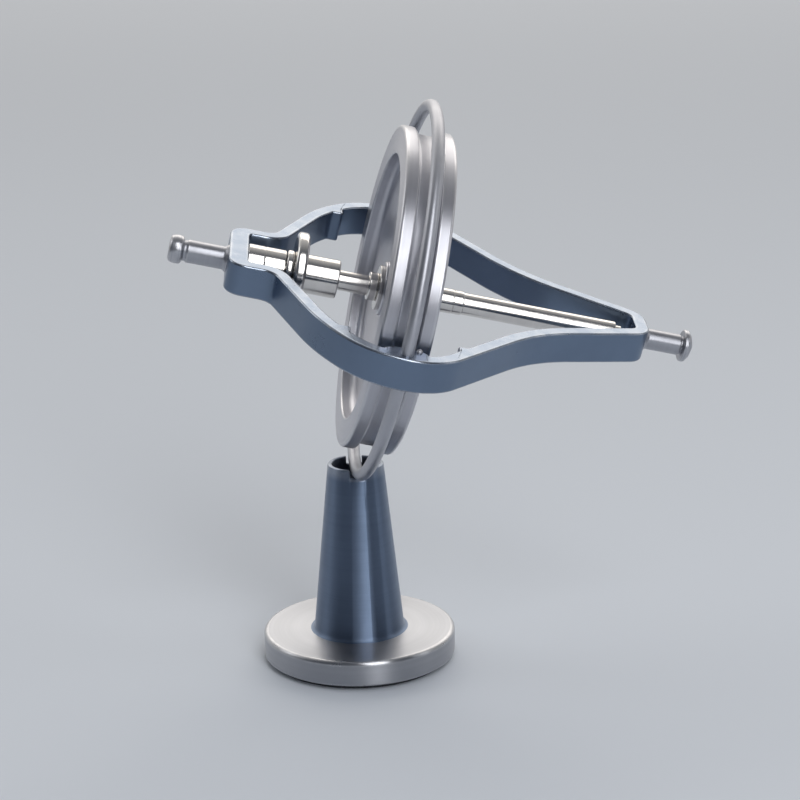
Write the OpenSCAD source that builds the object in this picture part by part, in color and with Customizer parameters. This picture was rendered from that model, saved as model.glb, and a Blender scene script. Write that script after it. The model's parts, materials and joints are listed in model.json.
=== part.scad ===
// Gyroscope balanced on a notched stand, in millimetres.
// Origin: centre of the foot pad's underside. +Z up, X along the axle seen from above.
// Each piece of the gyroscope is drawn with its axle along X and placed by on_axle().

/* [Pose] */
// Fall of the axle towards the nose end
axle_tilt = 13.1; // [8:0.1:18]
// Turn of the frame about its axle, near side down
frame_roll = 11; // [0:1:16]

/* [Stand] */
// Diameter of the base disc
base_d = 33; // [30:0.5:44]
// Thickness of the base disc
base_h = 4.3; // [3.6:0.1:7]
// Width of the rounding on the disc's top edge
base_edge = 0.7; // [0.4:0.1:1.2]
// Step from the disc's edge in to the foot pad
pad_inset = 1.3; // [0.8:0.1:4]
// Thickness of the foot pad
pad_h = 0.9; // [0.6:0.1:2]
// Height of the column above the disc
column_h = 29.5; // [26:0.5:40]
// Diameter of the column just above its flared foot
column_foot_d = 15.4; // [13:0.2:18]
// Diameter of the column at its rim
column_top_d = 9.5; // [9:0.1:10.6]
// Wall at the rim
rim_wall = 0.7; // [0.5:0.05:0.9]
// Depth of the hollow below the rim
cup_depth = 14; // [9:0.5:20]
// Radius of the flare where the column meets the disc
flare_r = 1.3; // [0.8:0.1:2]
// Width of the notches in the rim
notch_w = 2.7; // [2.5:0.1:3.2]
// Depth of the notches in the rim
notch_depth = 1.4; // [1.2:0.1:2]
// Thread diameter of the screw that holds the column
column_screw_d = 3; // [2.5:0.1:4]

/* [Guard ring] */
// From the frame's widest point in to the middle of the ring's bar
ring_inset = 2.05; // [1.8:0.05:2.2]
// Diameter of the ring's bar
bar_d = 2.1; // [1.8:0.05:2.2]
// Diameter of the rivets' round heads
rivet_head_d = 1; // [0.8:0.05:1.1]
// Diameter of the rivets' shanks
rivet_d = 0.6; // [0.5:0.05:0.7]

/* [Frame band] */
// Height of the band
band_h = 5.4; // [4.6:0.1:6.4]
// Thickness of the band
band_t = 2.3; // [2:0.1:2.8]
// Half the frame's greatest width
frame_half = 33; // [30:0.1:36]
// Half the yoke's width
yoke_half = 8.4; // [8:0.1:9.4]
// Thickness of the yoke's end wall
yoke_wall = 3.2; // [2.8:0.1:3.6]
// Distance from the flywheel's middle to the yoke's end face
yoke_reach = 28; // [27.6:0.1:30]
// Half the nose's width
nose_half = 5.6; // [5.2:0.1:6.6]
// Distance from the flywheel's middle to the nose's end face
nose_reach = 43.2; // [42:0.1:47]
// Half the length of the relief pockets
pocket_half = 8.5; // [8:0.1:9.2]
// From the frame's widest point in to the pockets' lips
lip_inset = 8.7; // [8:0.1:9.2]

/* [Flywheel] */
// Gap between the flywheel and the guard ring
wheel_gap = 2.9; // [2.6:0.1:5]
// Width of the rim
wheel_w = 8.3; // [7:0.1:9]
// Depth of the rim, from its outer face to the recess
rim_depth = 4.8; // [4:0.1:7]
// Thickness of the web
web_t = 3.2; // [2.4:0.1:3.6]
// Width of the groove round the rim
groove_w = 3.8; // [3:0.1:4.2]
// Depth of the groove
groove_depth = 1; // [0.6:0.1:1.4]
// Diameter of the hub boss
hub_d = 9; // [8.4:0.1:11]

/* [Axle] */
// Diameter of the thin part, under the sleeve and the wheel
axle_thin_d = 3.35; // [3:0.05:3.4]
// Diameter of the polished nose side
axle_d = 3.7; // [3.6:0.05:4]
// Diameter of the yoke journal
yoke_journal_d = 2; // [1.8:0.05:2.1]
// Diameter of the nose journal
nose_journal_d = 1.5; // [1.4:0.05:1.6]
// Diameter of the winding sleeve
sleeve_d = 6.4; // [6:0.1:7]
// Length of the winding sleeve
sleeve_len = 5.8; // [5:0.1:6.4]
// Diameter of the spool flange
flange_d = 13.2; // [11:0.1:14]
// Thickness of the spool flange
flange_t = 1.9; // [1.5:0.1:2.1]
// Diameter of the bearing barrel
barrel_d = 6.3; // [6.1:0.1:7]
// Diameter of the stub on the yoke
yoke_stub_d = 3.8; // [3.4:0.1:4.2]
// Diameter of the stub on the nose
nose_stub_d = 3.5; // [3.3:0.1:3.8]

/* [Hidden] */
$fn = 96;
bar_fn = 64;             // facets of the ring's bar and of large roundings
edge_fn = 48;           // facets of small roundings and balls
dome_fn = 128;          // facets of the nose head's shallow dome

// Clearances
seat_gap = 0.01;        // radial, where one piece is pressed or screwed into another
ring_gap = 0.05;        // ring bar above the floor of the notches
run_gap = 0.15;         // between end faces that turn past each other
ball_gap = 0.02;        // ball to race
eps = 0.01;             // lets a cut run past a face
far_out = 80;           // longer than any piece, for cutting shapes

// Bevels and roundings of turned edges
fine_edge = 0.06;
shank_edge = 0.1;
barrel_edge = 0.12;
axle_edge = 0.15;
collar_edge = 0.2;
sleeve_edge = 0.25;
neck_edge = 0.35;
flange_edge = 0.55;

// Stand
base_r = base_d / 2;
pad_r = base_r - pad_inset;
base_top = pad_h + base_h;
rim_z = base_top + column_h;
column_top_r = column_top_d / 2;
column_foot_r = column_foot_d / 2;
cup_r = column_top_r - rim_wall;
cup_cone = 2;                       // height of the drilled point at the cup's bottom
notch_floor = rim_z - notch_depth;
screw_r = column_screw_d / 2;
screw_grip = 6;                     // depth of the thread inside the column
screw_end_gap = 1;                  // free thread past the screw's end
screw_head_r = column_screw_d * 0.93;   // proportions of a countersunk socket screw
screw_head_h = column_screw_d * 0.55;
screw_head_sink = 0.3;              // countersunk head below the disc's underside
hex_socket_d = column_screw_d * 0.66;
hex_socket_h = column_screw_d * 0.44;
locating_r = 4.2;                   // spigot under the column, in the disc's recess
locating_h = 1.2;
rim_round = 0.15;

// Ring and the gyroscope's centre. The bar touches the notches at their inner edge.
ring_r = frame_half - ring_inset;
bar_r = bar_d / 2;
contact_sag = ring_r - sqrt(ring_r * ring_r - cup_r * cup_r);
ring_low = notch_floor + ring_gap - contact_sag * cos(axle_tilt);
centre_x = ring_r * sin(axle_tilt);
centre_z = ring_low + bar_r + ring_r * cos(axle_tilt);
ring_join = 0.1;                    // gap between the two half rings
boss_reach = 1.3;                   // boss beyond the ring's bar
boss_tip = ring_r - bar_r - boss_reach;
boss_depth = 3.5;                   // from the frame's widest point in to the boss's foot
boss_sink = 0.8;                    // boss's root inside the band
boss_wall = 0.45;                   // beside the ring's bar at the tip
boss_foot = frame_half - boss_depth;
boss_root = frame_half - band_t + boss_sink;
boss_tip_half = bar_r + boss_wall;
boss_foot_half = 3.4;
rivet_u = 2;                        // rivets beside the ring's bar
rivet_v = boss_foot + seat_gap;

// Frame outline: arcs given by centre, radius and the angle of their outward normal from +Y
crown_u = 0.5;
crown_r = 11;
crown_r_l = 14;                     // towards the yoke
flank_r = 30;
flank_from = 45;
flank_to = 66;
slope_a = 49;
sweep_r = 31;
sweep_a = 23.5;
nose_corner = 4;
yoke_corner = 2.8;
yoke_fillet = 2.5;
crown_c = [crown_u, frame_half - crown_r];
crown_c_l = [crown_u, frame_half - crown_r_l];
n_from = [-sin(flank_from), cos(flank_from)];
n_to = [-sin(flank_to), cos(flank_to)];
n_slope = [sin(slope_a), cos(slope_a)];
d_slope = [cos(slope_a), -sin(slope_a)];
n_sweep = [sin(sweep_a), cos(sweep_a)];
flank_c = crown_c_l + (crown_r_l - flank_r) * n_from;
flank_k = n_to * flank_c + flank_r;
fillet_v = yoke_half + yoke_fillet;
fillet_c = [(n_to[1] * fillet_v - flank_k - yoke_fillet) / -n_to[0], fillet_v];
nose_c = [nose_reach - nose_corner, nose_half - nose_corner];
sweep_k = n_sweep * nose_c + nose_corner;
sweep_start = crown_c + (crown_r + sweep_r) * n_slope;
slope_run = (sweep_k + sweep_r - n_sweep * sweep_start) / (n_sweep * d_slope);
sweep_c = sweep_start + slope_run * d_slope;
yoke_c = [yoke_corner - yoke_reach, yoke_half - yoke_corner];
arc_steps = 12;
lip_v = frame_half - lip_inset;
lip_cover = 5;                      // the pockets' lips end inside the band
lip_top = frame_half - lip_cover;
lip_end_l = flank_c[0] - sqrt(pow(flank_r - band_t / 2, 2) - pow(lip_v - flank_c[1], 2));
lip_end_r = (n_slope * crown_c + crown_r - band_t / 2 - n_slope[1] * lip_v) / n_slope[0];

// Stations along the axle, from the flywheel's middle, nose end positive
wheel_r = ring_r - bar_r - wheel_gap;
rim_in_r = wheel_r - rim_depth;
rim_edge = 0.5;                     // rounding of the rim's edges
groove_round = 0.5;
web_corner = 1.2;
hub_step = 0.6;
hub_half = web_t / 2 + hub_step;
washer_t = 0.7;
washer_r = 3.75;
collar_r = 2.35;
collar_len = 1.5;
collar_end = hub_half + washer_t + collar_len;
yoke_inner = yoke_reach - yoke_wall;
nose_inner = nose_reach - band_t;
lock_len = 2.7;
housing_len = 3.5;
housing_start = yoke_inner - lock_len;
housing_end = housing_start - housing_len;
neck_t = 1.25;
neck_r = 3.35;
neck_start = housing_end - run_gap;
flange_start = neck_start - neck_t;
sleeve_start = flange_start - flange_t;
sleeve_end = sleeve_start - sleeve_len;
spacer_r = 2.05;
spacer_end = 10.1;
step_len = 1.6;
step_end = spacer_end + step_len;
step_r = 2;
axle_thin_r = axle_thin_d / 2;
axle_r = axle_d / 2;
nose_clear = 3;                     // from the polished side's end to the nose's inner face
axle_end = nose_inner - nose_clear;
shoulder_r = 1.3;
shoulder_len = 1.1;
shoulder_end = axle_end + shoulder_len;

// Bearings: outer radius, bore radius, width, ball radius, number of balls
yoke_brg_r = 2.5;
yoke_brg_w = 2.3;
nose_brg_r = 2;
nose_brg_w = 1.3;
yoke_ball_r = 0.5;
nose_ball_r = 0.38;
yoke_balls = 8;
nose_balls = 9;
race_lip = 0.28;                    // radial gap from each race to the balls' pitch circle
retainer_t = 0.5;
yoke_brg_mid = housing_end + retainer_t + yoke_brg_w / 2;
nose_brg_mid = nose_inner + nose_brg_w / 2;
yoke_pitch = (yoke_brg_r + yoke_journal_d / 2) / 2;
nose_pitch = (nose_brg_r + nose_journal_d / 2) / 2;
journal_play = 0.1;
yoke_journal_end = yoke_brg_mid + yoke_brg_w / 2 + journal_play;
race_relief = 0.3;                  // free space behind the yoke's inner race
race_shoulder_r = 1.4;
nose_journal_end = nose_brg_mid + nose_brg_w / 2 - journal_play;

// Stubs
yoke_shank_r = 1.3;
nose_shank_r = 1.2;
stub_flare = 0.45;
yoke_stub_r = yoke_stub_d / 2;
nose_stub_r = nose_stub_d / 2;
yoke_stub_len = 6.8;
yoke_neck_len = 0.5;
yoke_neck_cut = 0.35;
cap_r = 2.4;
cap_len = 2.3;
nose_stub_len = 6.3;
nose_neck_len = 0.4;
nose_neck_cut = 0.3;
nose_head_r = 2.7;
nose_head_t = 0.75;
nose_dome_h = 1.15;

// Places a piece drawn along X on the tilted axle line
module on_axle() {
    translate([centre_x, 0, centre_z])
        rotate([0, axle_tilt, 0])
            rotate([frame_roll, 0, 0])
                children();
}

// Turns profiles of [station, radius] about the axle line
module turned() {
    for (i = [0 : $children - 1])
        rotate([0, 90, 0])
            rotate_extrude()
                rotate(90)
                    mirror([0, 1])
                        children(i);
}

// Half profile from station a to station b, radius r, with ends bevelled by e
module bar_profile(a, b, r, e) {
    polygon([[a, 0], [a, r - e], [a + e, r], [b - e, r], [b, r - e], [b, 0]]);
}

// Ring profile from station a to station b between two radii, outer edges rounded by e
module ring_profile(a, b, r_in, r_out, e) {
    translate([a + e, r_in])
        square([b - a - 2 * e, r_out - r_in]);
    translate([a, r_in])
        square([b - a, r_out - r_in - e]);
    for (s = [a + e, b - e])
        translate([s, r_out - e])
            circle(e, $fn = edge_fn);
}

// Solid of revolution about Z from a profile of [radius, height]
module lathe() {
    rotate_extrude()
        children();
}

// Points of an arc; angles turn from +Y to +X, and a hollow bend has a negative radius
function arc(c, r, from, to) = [
    for (i = [0 : arc_steps])
        let (a = from + (to - from) * i / arc_steps)
            c + r * [sin(a), cos(a)]
];

// One side of the frame's outline, moved inwards by t, from the yoke to the nose
function side_points(t) = concat(
    arc(yoke_c, yoke_corner - t, -90, 0),
    arc(fillet_c, -yoke_fillet - t, 0, -flank_to),
    arc(flank_c, flank_r - t, -flank_to, -flank_from),
    arc(crown_c_l, crown_r_l - t, -flank_from, 0),
    arc(crown_c, crown_r - t, 0, slope_a),
    arc(sweep_c, -sweep_r - t, slope_a, sweep_a),
    arc(nose_c, nose_corner - t, sweep_a, 90)
);

// The whole outline, moved inwards by t
module outline(t) {
    points = side_points(t);
    last = len(points) - 1;
    polygon(concat(points, [for (i = [last : -1 : 0]) [points[i][0], -points[i][1]]]));
}

// Lips at the ends of an arm's relief pocket, and the sloping boss that holds the guard ring
module lips_and_boss() {
    polygon([[-pocket_half, lip_v], [-pocket_half, lip_top], [lip_end_l, lip_v]]);
    polygon([[pocket_half, lip_v], [pocket_half, lip_top], [lip_end_r, lip_v]]);
    polygon([
        [-boss_foot_half, boss_root],
        [-boss_foot_half, boss_foot],
        [-boss_tip_half, boss_tip],
        [boss_tip_half, boss_tip],
        [boss_foot_half, boss_foot],
        [boss_foot_half, boss_root]
    ]);
}

module both_sides() {
    children();
    mirror([0, 1])
        children();
}

// Bar of the guard ring between two angles, thickened by extra for its channel
module ring_bar(extra, from, sweep) {
    rotate([0, 90, 0])
        rotate(from)
            rotate_extrude(angle = sweep)
                translate([ring_r, 0])
                    circle(bar_r + extra, $fn = bar_fn);
}

// Places a rivet in each boss, beside the ring on its nose side
module at_rivets() {
    for (side = [-1, 1])
        translate([rivet_u, side * rivet_v, 0])
            children();
}

module frame_band() {
    color("silver")
        on_axle()
            difference() {
                translate([0, 0, -band_h / 2])
                    linear_extrude(band_h)
                        difference() {
                            outline(0);
                            difference() {
                                outline(band_t);
                                translate([-yoke_inner - yoke_wall, -yoke_half])
                                    square([yoke_wall, 2 * yoke_half]);
                                both_sides()
                                    lips_and_boss();
                            }
                        }
                ring_bar(seat_gap, 0, 360);
                at_rivets()
                    cylinder(r = rivet_d / 2 + seat_gap, h = 2 * band_h, center = true);
                turned()
                    translate([-yoke_reach - eps, 0])
                        square([yoke_wall + 2 * eps, yoke_shank_r + seat_gap]);
                turned()
                    translate([nose_inner - eps, 0])
                        square([band_t + 2 * eps, nose_shank_r + seat_gap]);
                turned()
                    translate([nose_inner - eps, 0])
                        square([nose_brg_w + eps, nose_brg_r + seat_gap]);
            }
}

// Half of the guard ring; side is 1 for the upper half and -1 for the lower
module half_ring(side) {
    join_a = asin(ring_join / 2 / ring_r);
    color("silver")
        on_axle()
            ring_bar(0, side > 0 ? 90 + join_a : -90 + join_a, 180 - 2 * join_a);
}

module upper_half_ring() {
    half_ring(1);
}

module lower_half_ring() {
    half_ring(-1);
}

// Rivets through the bosses, with a round head on each face of the band
module ring_rivets() {
    head_r = rivet_head_d / 2;
    color("gainsboro")
        on_axle()
            at_rivets() {
                cylinder(r = rivet_d / 2, h = band_h + head_r, center = true);
                for (side = [-1, 1])
                    translate([0, 0, side * band_h / 2])
                        intersection() {
                            sphere(head_r, $fn = edge_fn);
                            translate([0, 0, side * head_r])
                                cube(2 * head_r, center = true);
                        }
            }
}

module foot_pad() {
    pad_edge = 0.2;
    color("dimgray")
        lathe()
            polygon([
                [0, 0], [pad_r - pad_edge, 0], [pad_r, pad_edge],
                [pad_r, pad_h], [0, pad_h]
            ]);
}

module stand_base() {
    low_edge = 0.3;
    head_room = 0.1;
    color("silver")
        difference() {
            lathe()
                difference() {
                    union() {
                        translate([0, pad_h])
                            polygon([
                                [0, 0], [base_r - low_edge, 0], [base_r, low_edge],
                                [base_r, base_h - base_edge], [base_r - base_edge, base_h], [0, base_h]
                            ]);
                        translate([base_r - base_edge, base_top - base_edge])
                            circle(base_edge, $fn = bar_fn);
                    }
                    translate([0, base_top - locating_h])
                        square([locating_r + seat_gap, locating_h + eps]);
                }
            translate([0, 0, pad_h - eps]) {
                cylinder(r = screw_r + seat_gap, h = base_h);
                cylinder(r = screw_head_r + head_room, h = screw_head_sink + eps);
            }
            translate([0, 0, pad_h + screw_head_sink])
                cylinder(r1 = screw_head_r + head_room, r2 = screw_r + head_room, h = screw_head_h);
        }
}

// Tapered column with a flared foot, a hollow top and two notches in its rim
module stand_column() {
    foot_r = column_foot_r;
    color("silver")
        difference() {
            lathe()
                difference() {
                    polygon([
                        [0, base_top - locating_h], [locating_r, base_top - locating_h],
                        [locating_r, base_top], [foot_r + flare_r, base_top],
                        [foot_r, base_top + flare_r],
                        [column_top_r, rim_z - rim_round], [column_top_r - rim_round, rim_z],
                        [cup_r, rim_z], [cup_r, rim_z - cup_depth], [0, rim_z - cup_depth - cup_cone]
                    ]);
                    translate([foot_r + flare_r, base_top + flare_r])
                        circle(flare_r, $fn = bar_fn);
                }
            translate([-notch_w / 2, -far_out / 2, notch_floor])
                cube([notch_w, far_out, notch_depth + eps]);
            translate([0, 0, base_top - locating_h - eps])
                cylinder(r = screw_r + seat_gap, h = locating_h + screw_grip);
        }
}

module column_screw() {
    tip = 0.4;
    head_z = pad_h + screw_head_sink;
    end_z = base_top + screw_grip - screw_end_gap;
    color("dimgray")
        difference() {
            lathe()
                polygon([
                    [0, head_z], [screw_head_r, head_z], [screw_r, head_z + screw_head_h],
                    [screw_r, end_z - tip], [screw_r - tip, end_z], [0, end_z]
                ]);
            translate([0, 0, head_z - eps])
                cylinder(d = hex_socket_d, h = hex_socket_h, $fn = 6);
        }
}

// Stub on the yoke: shank through the wall, round bar, neck and rounded cap
module yoke_stub() {
    face = -yoke_reach;
    bar_end = face - yoke_stub_len;
    neck_end = bar_end - yoke_neck_len;
    cap_end = neck_end - cap_len;
    color("silver")
        on_axle()
            turned() {
                bar_profile(face - eps, -housing_start, yoke_shank_r, shank_edge);
                bar_profile(bar_end, face, yoke_stub_r, shank_edge);
                polygon([
                    [face, 0], [face, yoke_stub_r + stub_flare],
                    [face - stub_flare, yoke_stub_r], [face - 2 * stub_flare, 0]
                ]);
                translate([neck_end - eps, 0])
                    square([yoke_neck_len + 2 * eps, yoke_stub_r - yoke_neck_cut]);
                intersection() {
                    translate([cap_end + cap_len / 2, 0])
                        circle(cap_r);
                    translate([cap_end, 0])
                        square([cap_len, cap_r]);
                }
            }
}

// Stub on the nose: shank in the wall, flared foot, round bar and domed head
module nose_stub() {
    face = nose_reach;
    shank_start = nose_brg_mid + nose_brg_w / 2 + run_gap;
    bar_end = face + nose_stub_len;
    neck_end = bar_end + nose_neck_len;
    dome_r = (nose_head_r * nose_head_r + nose_dome_h * nose_dome_h) / (2 * nose_dome_h);
    color("silver")
        on_axle()
            turned() {
                bar_profile(shank_start, face + eps, nose_shank_r, shank_edge);
                bar_profile(face, bar_end, nose_stub_r, shank_edge);
                polygon([
                    [face, 0], [face, nose_stub_r + stub_flare],
                    [face + stub_flare, nose_stub_r], [face + 2 * stub_flare, 0]
                ]);
                translate([bar_end - eps, 0])
                    square([nose_neck_len + 2 * eps, nose_stub_r - nose_neck_cut]);
                translate([neck_end, 0])
                    square([nose_head_t, nose_head_r]);
                intersection() {
                    translate([neck_end + nose_head_t + nose_dome_h - dome_r, 0])
                        circle(dome_r, $fn = dome_fn);
                    translate([neck_end + nose_head_t, 0])
                        square([nose_dome_h, nose_head_r]);
                }
            }
}

// First length of the barrel, screwed on the yoke stub's shank against the wall
module lock_collar() {
    color("gainsboro")
        on_axle()
            turned()
                difference() {
                    bar_profile(-yoke_inner, -housing_start, barrel_d / 2, barrel_edge);
                    translate([-yoke_inner - eps, 0])
                        square([lock_len + 2 * eps, yoke_shank_r + seat_gap]);
                }
}

// Second length of the barrel, with the pocket for the yoke's bearing
module bearing_housing() {
    pocket = yoke_brg_w + retainer_t;
    color("gainsboro")
        on_axle()
            turned()
                difference() {
                    bar_profile(-housing_start, -housing_end, barrel_d / 2, barrel_edge);
                    translate([-housing_end - pocket, 0])
                        square([pocket + eps, yoke_brg_r + seat_gap]);
                    translate([-housing_end - pocket - race_relief, 0])
                        square([pocket, yoke_pitch + race_lip]);
                }
}

module bearing_retainer() {
    retainer_w = 0.55;
    color("dimgray")
        on_axle()
            turned()
                ring_profile(-housing_end - retainer_t, -housing_end,
                    yoke_brg_r - retainer_w, yoke_brg_r, shank_edge);
}

// Race between two radii, with the track for balls of radius ball_r on the pitch circle
module race(mid, w, r_in, r_out, pitch, ball_r) {
    turned()
        difference() {
            ring_profile(mid - w / 2, mid + w / 2, r_in, r_out, fine_edge);
            translate([mid, pitch])
                circle(ball_r + ball_gap, $fn = edge_fn);
        }
}

module balls(mid, pitch, ball_r, count) {
    for (i = [0 : count - 1])
        rotate([i * 360 / count, 0, 0])
            translate([mid, 0, pitch])
                sphere(ball_r, $fn = edge_fn);
}

module yoke_outer_race() {
    color("lightsteelblue")
        on_axle()
            race(-yoke_brg_mid, yoke_brg_w, yoke_pitch + race_lip, yoke_brg_r, yoke_pitch, yoke_ball_r);
}

module yoke_inner_race() {
    color("lightsteelblue")
        on_axle()
            race(-yoke_brg_mid, yoke_brg_w, yoke_journal_d / 2 + seat_gap, yoke_pitch - race_lip,
                yoke_pitch, yoke_ball_r);
}

module yoke_balls_set() {
    color("white")
        on_axle()
            balls(-yoke_brg_mid, yoke_pitch, yoke_ball_r, yoke_balls);
}

module nose_outer_race() {
    color("lightsteelblue")
        on_axle()
            race(nose_brg_mid, nose_brg_w, nose_pitch + race_lip, nose_brg_r, nose_pitch, nose_ball_r);
}

module nose_inner_race() {
    color("lightsteelblue")
        on_axle()
            race(nose_brg_mid, nose_brg_w, nose_journal_d / 2 + seat_gap, nose_pitch - race_lip,
                nose_pitch, nose_ball_r);
}

module nose_balls_set() {
    color("white")
        on_axle()
            balls(nose_brg_mid, nose_pitch, nose_ball_r, nose_balls);
}

// Axle turned in steps: yoke journal, thin part, polished nose side, shoulder, nose journal
module axle() {
    color("whitesmoke")
        on_axle()
            turned() {
                bar_profile(-yoke_journal_end, -flange_start, yoke_journal_d / 2, shank_edge);
                bar_profile(-yoke_brg_mid + yoke_brg_w / 2, -flange_start, race_shoulder_r, shank_edge);
                bar_profile(-flange_start - neck_t, step_end, axle_thin_r, eps);
                bar_profile(step_end, axle_end, axle_r, axle_edge);
                bar_profile(axle_end - eps, shoulder_end, shoulder_r, shank_edge);
                bar_profile(shoulder_end - eps, nose_journal_end, nose_journal_d / 2, shank_edge);
            }
}

// Flywheel: grooved rim, web with rounded corners, hub boss
module flywheel() {
    half_w = wheel_w / 2;
    color("silver")
        on_axle()
            turned()
                difference() {
                    union() {
                        ring_profile(-half_w, half_w, rim_in_r, wheel_r, rim_edge);
                        translate([-web_t / 2, axle_thin_r + seat_gap])
                            square([web_t, rim_in_r]);
                        translate([-hub_half, axle_thin_r + seat_gap])
                            square([2 * hub_half, hub_d / 2 - axle_thin_r]);
                        for (side = [-1, 1])
                            difference() {
                                translate([
                                    side > 0 ? web_t / 2 : -web_t / 2 - web_corner,
                                    rim_in_r - web_corner
                                ])
                                    square([web_corner, web_corner + eps]);
                                translate([side * (web_t / 2 + web_corner), rim_in_r - web_corner])
                                    circle(web_corner, $fn = edge_fn);
                            }
                    }
                    translate([-groove_w / 2, wheel_r - groove_depth + groove_round])
                        square([groove_w, groove_depth]);
                    translate([-groove_w / 2 + groove_round, wheel_r - groove_depth])
                        square([groove_w - 2 * groove_round, groove_depth]);
                    for (s = [-1, 1])
                        translate([s * (groove_w / 2 - groove_round), wheel_r - groove_depth + groove_round])
                            circle(groove_round, $fn = edge_fn);
                }
}

module hub_washers() {
    color("whitesmoke")
        on_axle()
            for (side = [-1, 1])
                turned()
                    ring_profile(side > 0 ? hub_half : -hub_half - washer_t,
                        side > 0 ? hub_half + washer_t : -hub_half,
                        axle_thin_r + seat_gap, washer_r, axle_edge);
}

module hub_collar() {
    color("whitesmoke")
        on_axle()
            turned()
                ring_profile(-collar_end, -hub_half - washer_t,
                    axle_thin_r + seat_gap, collar_r, collar_edge);
}

module nose_spacer() {
    color("whitesmoke")
        on_axle()
            turned() {
                ring_profile(hub_half + washer_t, spacer_end, axle_thin_r + seat_gap, spacer_r, barrel_edge);
                ring_profile(spacer_end - eps, step_end, axle_thin_r + seat_gap, step_r, axle_edge);
            }
}

module winding_sleeve() {
    color("whitesmoke")
        on_axle()
            turned()
                difference() {
                    bar_profile(-sleeve_start, -sleeve_end, sleeve_d / 2, sleeve_edge);
                    translate([-sleeve_start - eps, 0])
                        square([sleeve_len + 2 * eps, axle_thin_r + seat_gap]);
                }
}

module spool_flange() {
    color("whitesmoke")
        on_axle()
            turned()
                ring_profile(-flange_start, -sleeve_start, axle_thin_r + seat_gap, flange_d / 2, flange_edge);
}

module neck_ring() {
    color("whitesmoke")
        on_axle()
            turned()
                ring_profile(-neck_start, -flange_start, axle_thin_r + seat_gap, neck_r, neck_edge);
}

foot_pad();
stand_base();
stand_column();
column_screw();
frame_band();
upper_half_ring();
lower_half_ring();
ring_rivets();
yoke_stub();
lock_collar();
bearing_housing();
bearing_retainer();
yoke_outer_race();
yoke_balls_set();
nose_stub();
nose_outer_race();
nose_balls_set();
axle();
flywheel();
hub_washers();
hub_collar();
nose_spacer();
winding_sleeve();
spool_flange();
neck_ring();
yoke_inner_race();
nose_inner_race();
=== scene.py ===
"""Finished surfaces, materials and studio of a gyroscope balanced on its stand."""

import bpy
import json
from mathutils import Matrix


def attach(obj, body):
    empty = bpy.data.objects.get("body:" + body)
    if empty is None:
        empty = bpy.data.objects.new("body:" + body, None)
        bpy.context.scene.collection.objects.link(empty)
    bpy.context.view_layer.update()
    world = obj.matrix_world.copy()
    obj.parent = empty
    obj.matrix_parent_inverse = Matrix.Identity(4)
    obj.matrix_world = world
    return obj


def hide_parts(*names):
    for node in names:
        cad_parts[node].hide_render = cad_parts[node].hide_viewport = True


bl_info = {
    "name": "Gyroscope on Stand",
    "version": (1, 0, 0),
    "blender": (4, 5, 0),
    "location": "View3D > Sidebar > Gyroscope",
    "description": "Turned and bent metal surfaces of a gyroscope on its stand",
    "category": "Object",
}

import json
import math

import bmesh
import bpy
import numpy as np
from bpy.props import FloatProperty, FloatVectorProperty, PointerProperty
from mathutils import Matrix

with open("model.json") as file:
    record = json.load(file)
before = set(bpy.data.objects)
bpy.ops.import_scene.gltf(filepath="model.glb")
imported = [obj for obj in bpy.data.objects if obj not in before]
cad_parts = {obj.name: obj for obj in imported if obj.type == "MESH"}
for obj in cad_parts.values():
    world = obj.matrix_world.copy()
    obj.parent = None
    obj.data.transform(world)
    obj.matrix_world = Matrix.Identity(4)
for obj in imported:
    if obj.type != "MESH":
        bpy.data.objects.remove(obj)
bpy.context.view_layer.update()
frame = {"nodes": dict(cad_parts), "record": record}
SPIN = next(j for j in frame["record"]["behaviour"]["joints"] if j["name"] == "flywheel_spin")
MM = 0.001
TURN = 2 * math.pi
TINY = 1e-9
NO_TRIANGLES = np.empty((0, 3), int)

# the band's bends from the yoke to the nose: radii in millimetres, and the direction in which
# each bend ends, in degrees from the frame's side to the nose
WIDEST = 0.5  # station of the frame's widest place
YOKE_CORNER = 2.8
YOKE_FILLET, FILLET_END = 2.5, -66
FLANK, FLANK_END = 30.0, -45
SHOULDER = 14.0
CROWN, CROWN_END = 11.0, 49
SWEEP, SWEEP_END = 31.0, 23.5
NOSE_CORNER = 4.0
ARC_STEP = 0.35  # distance of the points along a bend

# the band's inner face, in millimetres
BOSS_FOOT, BOSS_TIP = 3.4, 1.5  # half lengths of the boss that holds the guard ring
FOOT_INSET, TIP_INSET = 3.5, 4.4  # how far in from the frame's widest place
LIP_ROUND, RUN_OUT_ROUND = 0.45, 0.5  # rounding of a pocket's lips and of their ends
CLEAR, YOKE_CLEAR = 0.8, 0.9  # room between a rounded corner and the next plain point
# numbers of points between two marks along the band, from the yoke to the nose
STRETCHES = (14, 18, 12, 34, 20, 8, 16, 6, 8, 10, 8, 6, 16, 8, 8, 26, 40, 30, 16, 8)

# the turned pieces, in millimetres
HIDDEN_SEAT = 0.01  # radial room of a pressed seat
HUB_RISE = 0.6  # height of the hub above the web
WASHER, WASHER_RADIUS = 0.7, 3.75  # thickness and radius of the hub washers
NECK_RING = 1.25  # length of the ring between flange and barrel
NECK_GAP = 0.15  # gap between that ring and the barrel
AXLE_STEP = 11.7  # station at which the polished side begins
SHANK = 1.3  # radius of the yoke stub's shank
SHOULDER_STEP = 0.42  # how far a stub's shoulder stands out of its bar

# the column's rim, in millimetres
NOTCH_LEAD = 1.2  # length of rim beside a notch that stays aligned with it
RIM_ROUND = 0.16
LIP_DEPTH = 0.35  # depth below the rim that follows the notches

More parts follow.
